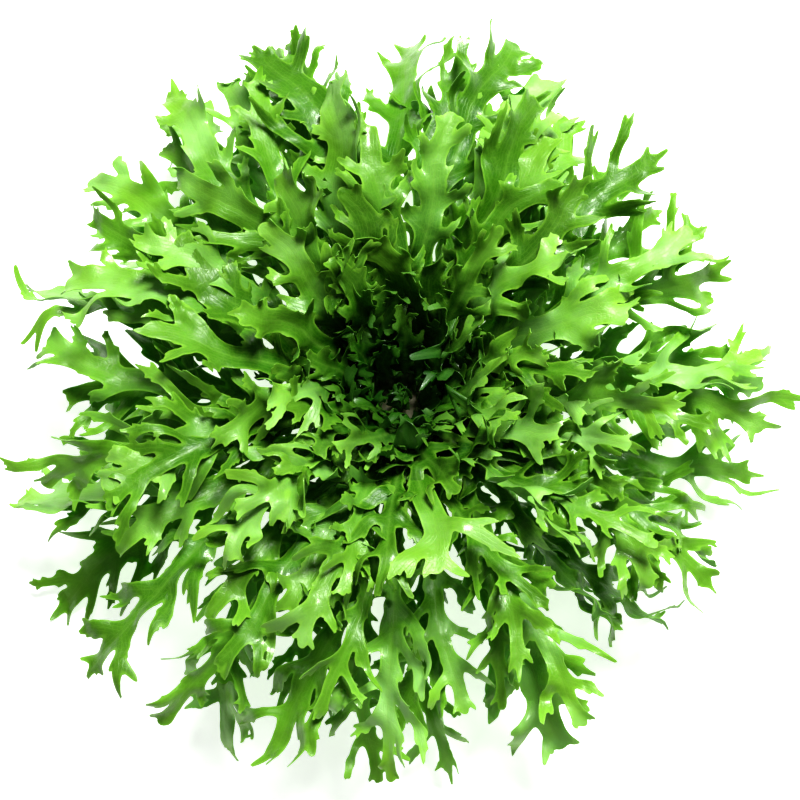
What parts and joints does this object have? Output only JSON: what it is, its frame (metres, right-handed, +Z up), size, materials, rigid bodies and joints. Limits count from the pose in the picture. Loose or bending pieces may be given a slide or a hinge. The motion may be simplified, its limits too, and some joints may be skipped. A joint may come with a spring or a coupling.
{
  "type": "curly endive head",
  "caption": "Head of curly endive cut at the root, its narrow, deeply lobed and toothed green leaves fanned open round a small pale crown that it rests on.",
  "frame": {"origin": "middle of the flat cut face under the crown, on the surface that the head rests on", "axes": "+Z up along the head's axis; +X to the right and -Y towards the front when it is seen from the front"},
  "size_m": [0.3344, 0.3487, 0.1039],
  "materials": {
    "outer_leaf": "satin",
    "middle_leaf": "satin",
    "inner_leaf": "satin",
    "heart": "satin",
    "crown": "matte"
  },
  "bodies": {
    "root": {"crown": "crown", "heart_bud": "heart", "outer_leaf_01": "outer_leaf", "outer_leaf_02": "outer_leaf", "outer_leaf_03": "outer_leaf", "outer_leaf_04": "outer_leaf", "outer_leaf_05": "outer_leaf", "outer_leaf_06": "outer_leaf", "outer_leaf_07": "outer_leaf", "outer_leaf_08": "outer_leaf", "outer_leaf_09": "outer_leaf", "outer_leaf_10": "outer_leaf", "outer_leaf_11": "outer_leaf", "outer_leaf_12": "outer_leaf", "outer_leaf_13": "outer_leaf", "outer_leaf_14": "outer_leaf", "outer_leaf_15": "outer_leaf", "outer_leaf_16": "outer_leaf", "outer_leaf_17": "outer_leaf", "outer_leaf_18": "outer_leaf", "middle_leaf_01": "middle_leaf", "middle_leaf_02": "middle_leaf", "middle_leaf_03": "middle_leaf", "middle_leaf_04": "middle_leaf", "middle_leaf_05": "middle_leaf", "middle_leaf_06": "middle_leaf", "middle_leaf_07": "middle_leaf", "middle_leaf_08": "middle_leaf", "middle_leaf_09": "middle_leaf", "middle_leaf_10": "middle_leaf", "middle_leaf_11": "middle_leaf", "middle_leaf_12": "middle_leaf", "middle_leaf_13": "middle_leaf", "middle_leaf_14": "middle_leaf", "middle_leaf_15": "middle_leaf", "middle_leaf_16": "middle_leaf", "middle_leaf_17": "middle_leaf", "middle_leaf_18": "middle_leaf", "inner_leaf_01": "inner_leaf", "inner_leaf_02": "inner_leaf", "inner_leaf_03": "inner_leaf", "inner_leaf_04": "inner_leaf", "inner_leaf_05": "inner_leaf", "inner_leaf_06": "inner_leaf", "inner_leaf_07": "inner_leaf", "inner_leaf_08": "inner_leaf", "inner_leaf_09": "inner_leaf", "inner_leaf_10": "inner_leaf", "inner_leaf_11": "inner_leaf", "inner_leaf_12": "inner_leaf", "inner_leaf_13": "inner_leaf", "inner_leaf_14": "inner_leaf", "inner_leaf_15": "inner_leaf", "inner_leaf_16": "inner_leaf", "inner_leaf_17": "inner_leaf", "inner_leaf_18": "inner_leaf", "inner_leaf_19": "inner_leaf", "inner_leaf_20": "inner_leaf"}
  },
  "joints": []
}
